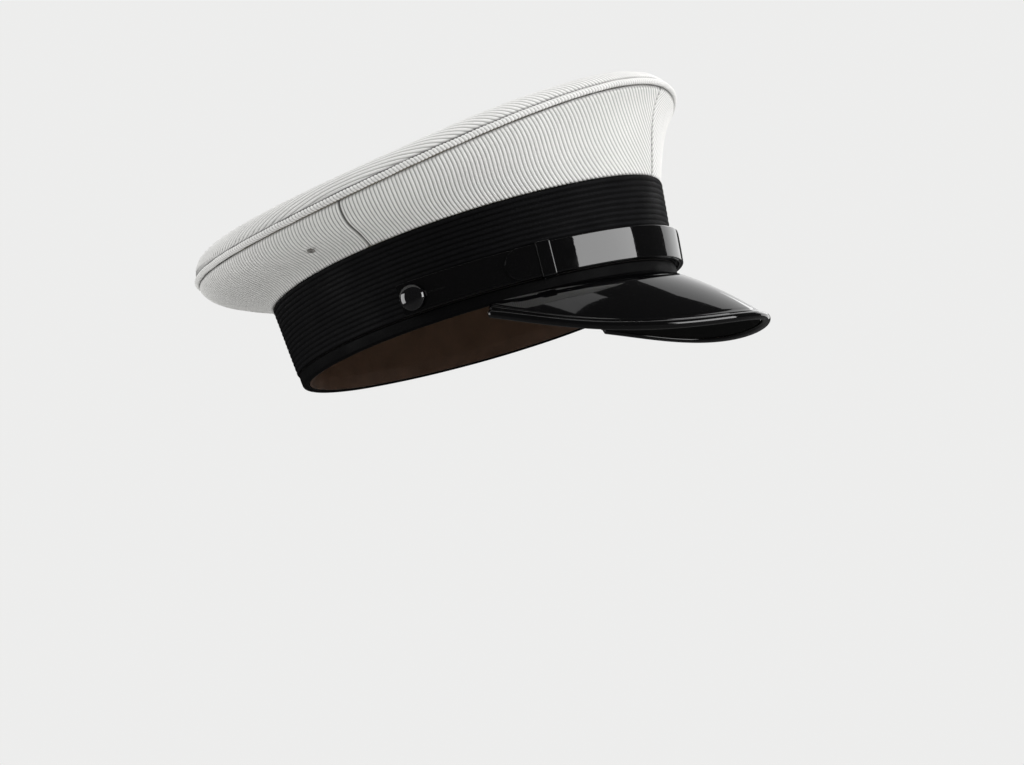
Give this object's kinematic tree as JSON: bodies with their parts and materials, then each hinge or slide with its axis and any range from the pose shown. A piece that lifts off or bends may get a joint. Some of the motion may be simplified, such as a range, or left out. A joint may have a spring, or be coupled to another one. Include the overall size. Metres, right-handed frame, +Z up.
{
  "type": "military peaked cap",
  "caption": "Peaked service cap: white ribbed cloth crown with piped edge, black ribbed band, patent chin strap with keepers on domed side buttons, sloping patent peak.",
  "frame": {"origin": "centre of the head opening, in the plane of the band's lower edge", "axes": "+X forward over the peak, +Y to the wearer's left, +Z up"},
  "size_m": [0.2897, 0.2488, 0.1402],
  "materials": {
    "white_ribbed_cloth": "heavy ribbed cord weave, matt",
    "mohair_braid": "black ribbed braid, slight sheen",
    "fibre_board": "pressed fibre board",
    "sweatband_leather": "brown leather, satin",
    "grommet_plastic": "pale plastic",
    "lining_cloth": "satin lining",
    "patent_leather": "black patent, mirror gloss",
    "peak_underside": "black grained leathercloth",
    "eyelet_thread": "whipped thread",
    "black_button": "black, high gloss",
    "shank_metal": "plain brass"
  },
  "bodies": {
    "cap": {"band_braid": "mohair_braid", "band_stiffener": "fibre_board", "band_binding": "mohair_braid", "sweatband": "sweatband_leather", "crown_front_right": "white_ribbed_cloth", "crown_front_left": "white_ribbed_cloth", "crown_rear_right": "white_ribbed_cloth", "crown_rear_left": "white_ribbed_cloth", "crown_top": "white_ribbed_cloth", "crown_piping": "white_ribbed_cloth", "crown_grommet": "grommet_plastic", "crown_top_lining": "lining_cloth", "crown_front_stay": "grommet_plastic", "peak_board": "fibre_board", "peak_cover": "patent_leather", "peak_lining": "peak_underside", "peak_rim": "patent_leather", "vent_eyelet_right": "eyelet_thread", "vent_eyelet_left": "eyelet_thread"},
    "chin_strap": {"chin_strap_inner": "patent_leather", "chin_strap_outer": "patent_leather"},
    "keeper_right": {"keeper_right": "patent_leather"},
    "keeper_left": {"keeper_left": "patent_leather"},
    "side_button_right": {"side_button_right": "black_button", "button_shank_right": "shank_metal", "split_pin_right": "shank_metal"},
    "side_button_left": {"side_button_left": "black_button", "button_shank_left": "shank_metal", "split_pin_left": "shank_metal"}
  },
  "joints": [
    {"name": "strap_swing", "type": "hinge", "parent": "cap", "child": "chin_strap", "pos_m": [0, 0, 0.0145], "axis": [0, -1, 0], "range_deg": [-2.5, 1.7]},
    {"name": "keeper_right_slide", "type": "hinge", "parent": "chin_strap", "child": "keeper_right", "pos_m": [0, 0.0262, 0], "axis": [0, 0, 1], "range_deg": [-1.5, 11.5]},
    {"name": "keeper_left_slide", "type": "hinge", "parent": "chin_strap", "child": "keeper_left", "pos_m": [0, -0.0262, 0], "axis": [0, 0, -1], "range_deg": [-1.5, 11.5]},
    {"name": "button_right_turn", "type": "hinge", "parent": "cap", "child": "side_button_right", "pos_m": [0, -0.088, 0.0145], "axis": [0, -1, 0], "continuous": true},
    {"name": "button_left_turn", "type": "hinge", "parent": "cap", "child": "side_button_left", "pos_m": [0, 0.088, 0.0145], "axis": [0, 1, 0], "continuous": true}
  ]
}
